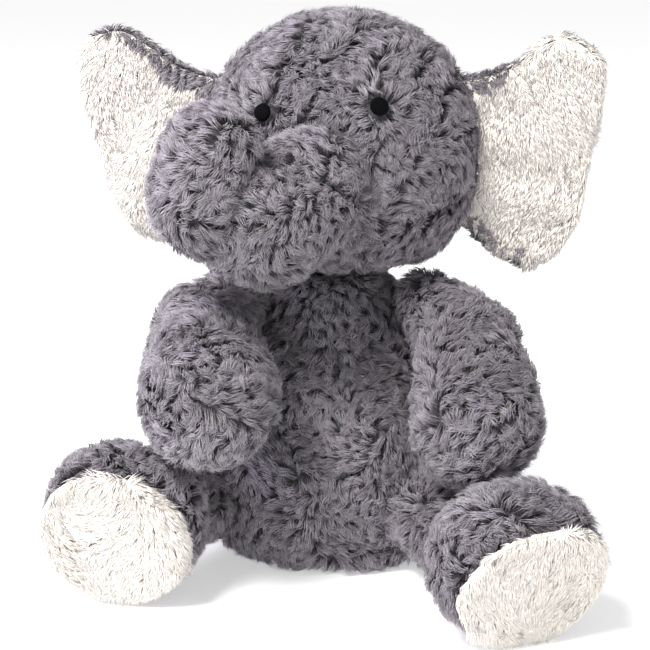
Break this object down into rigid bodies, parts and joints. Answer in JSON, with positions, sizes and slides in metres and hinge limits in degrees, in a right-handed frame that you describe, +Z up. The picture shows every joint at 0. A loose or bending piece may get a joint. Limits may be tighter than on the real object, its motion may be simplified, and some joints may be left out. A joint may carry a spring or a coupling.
{
  "type": "stuffed elephant",
  "caption": "Seated long-pile plush elephant with white ear linings and sole pads, curled trunk, embroidered eyes and soft sewn joints.",
  "frame": {"origin": "centre of the flat seat's underside, on the surface that it rests on", "axes": "+Z up, the elephant faces -Y, its own left side is +X"},
  "size_m": [0.3289, 0.3244, 0.3215],
  "materials": {
    "body_plush": "long-pile plush",
    "white_plush": "long-pile plush",
    "eye_thread": "satin-stitched thread",
    "fibre_fill": "loose polyester fibre",
    "bean_cloth": "plain woven cotton",
    "label_ribbon": "blank woven ribbon"
  },
  "bodies": {
    "torso": {"body_front_panel": "body_plush", "body_back_panel": "body_plush", "seat_panel": "body_plush", "body_stuffing": "fibre_fill", "bean_bag": "bean_cloth", "care_label": "label_ribbon"},
    "neck": {"neck_cover": "body_plush", "neck_stuffing": "fibre_fill"},
    "head": {"head_left_panel": "body_plush", "head_right_panel": "body_plush", "head_crown_gusset": "body_plush", "head_chin_gusset": "body_plush", "head_stuffing": "fibre_fill", "eye_left": "eye_thread", "eye_right": "eye_thread"},
    "trunk": {"trunk_upper_panel": "body_plush", "trunk_lower_panel": "body_plush", "trunk_stuffing": "fibre_fill"},
    "ear_left": {"ear_left_back": "body_plush", "ear_left_lining": "white_plush"},
    "ear_right": {"ear_right_back": "body_plush", "ear_right_lining": "white_plush"},
    "arm_left": {"arm_left_outer_panel": "body_plush", "arm_left_inner_panel": "body_plush", "arm_left_stuffing": "fibre_fill"},
    "arm_right": {"arm_right_outer_panel": "body_plush", "arm_right_inner_panel": "body_plush", "arm_right_stuffing": "fibre_fill"},
    "leg_left": {"leg_left_front_panel": "body_plush", "leg_left_back_panel": "body_plush", "foot_pad_left": "white_plush", "leg_left_stuffing": "fibre_fill"},
    "leg_right": {"leg_right_front_panel": "body_plush", "leg_right_back_panel": "body_plush", "foot_pad_right": "white_plush", "leg_right_stuffing": "fibre_fill"},
    "tail": {"tail_cover": "body_plush", "tail_tuft": "body_plush"}
  },
  "joints": [
    {"name": "head_turn", "type": "hinge", "parent": "torso", "child": "neck", "pos_m": [0, 0, 0.171], "axis": [0, 0, 1], "range_deg": [-10, 10], "stiffness_Nm_per_rad": 0.6},
    {"name": "head_nod", "type": "hinge", "parent": "neck", "child": "head", "pos_m": [0, 0, 0.192], "axis": [-1, 0, 0], "range_deg": [-4, 10], "stiffness_Nm_per_rad": 2},
    {"name": "trunk_bend", "type": "hinge", "parent": "head", "child": "trunk", "pos_m": [-0.002, -0.076, 0.2295], "axis": [-1, 0, 0], "range_deg": [0, 14], "stiffness_Nm_per_rad": 0.8},
    {"name": "ear_left_flap", "type": "hinge", "parent": "head", "child": "ear_left", "pos_m": [0.078, 0.005, 0.25], "axis": [0, 0, 1], "range_deg": [-20, 25], "stiffness_Nm_per_rad": 0.08},
    {"name": "ear_right_flap", "type": "hinge", "parent": "head", "child": "ear_right", "pos_m": [-0.078, 0.005, 0.25], "axis": [0, 0, -1], "range_deg": [-20, 25], "stiffness_Nm_per_rad": 0.08},
    {"name": "arm_left_swing", "type": "hinge", "parent": "torso", "child": "arm_left", "pos_m": [0.057, -0.014, 0.151], "axis": [-0.7049, -0.5809, 0.407], "range_deg": [0, 45], "stiffness_Nm_per_rad": 0.25},
    {"name": "arm_right_swing", "type": "hinge", "parent": "torso", "child": "arm_right", "pos_m": [-0.054, -0.017, 0.151], "axis": [-0.795, 0.113, -0.596], "range_deg": [0, 18], "stiffness_Nm_per_rad": 0.25},
    {"name": "leg_left_splay", "type": "hinge", "parent": "torso", "child": "leg_left", "pos_m": [0.058, -0.048, 0.036], "axis": [0, 0, 1], "range_deg": [0, 15], "stiffness_Nm_per_rad": 0.4},
    {"name": "leg_right_splay", "type": "hinge", "parent": "torso", "child": "leg_right", "pos_m": [-0.066, -0.036, 0.036], "axis": [0, 0, -1], "range_deg": [0, 15], "stiffness_Nm_per_rad": 0.4},
    {"name": "tail_wag", "type": "hinge", "parent": "torso", "child": "tail", "pos_m": [0, 0.083, 0.042], "axis": [0, 0, 1], "range_deg": [-15, 15], "stiffness_Nm_per_rad": 0.01}
  ]
}
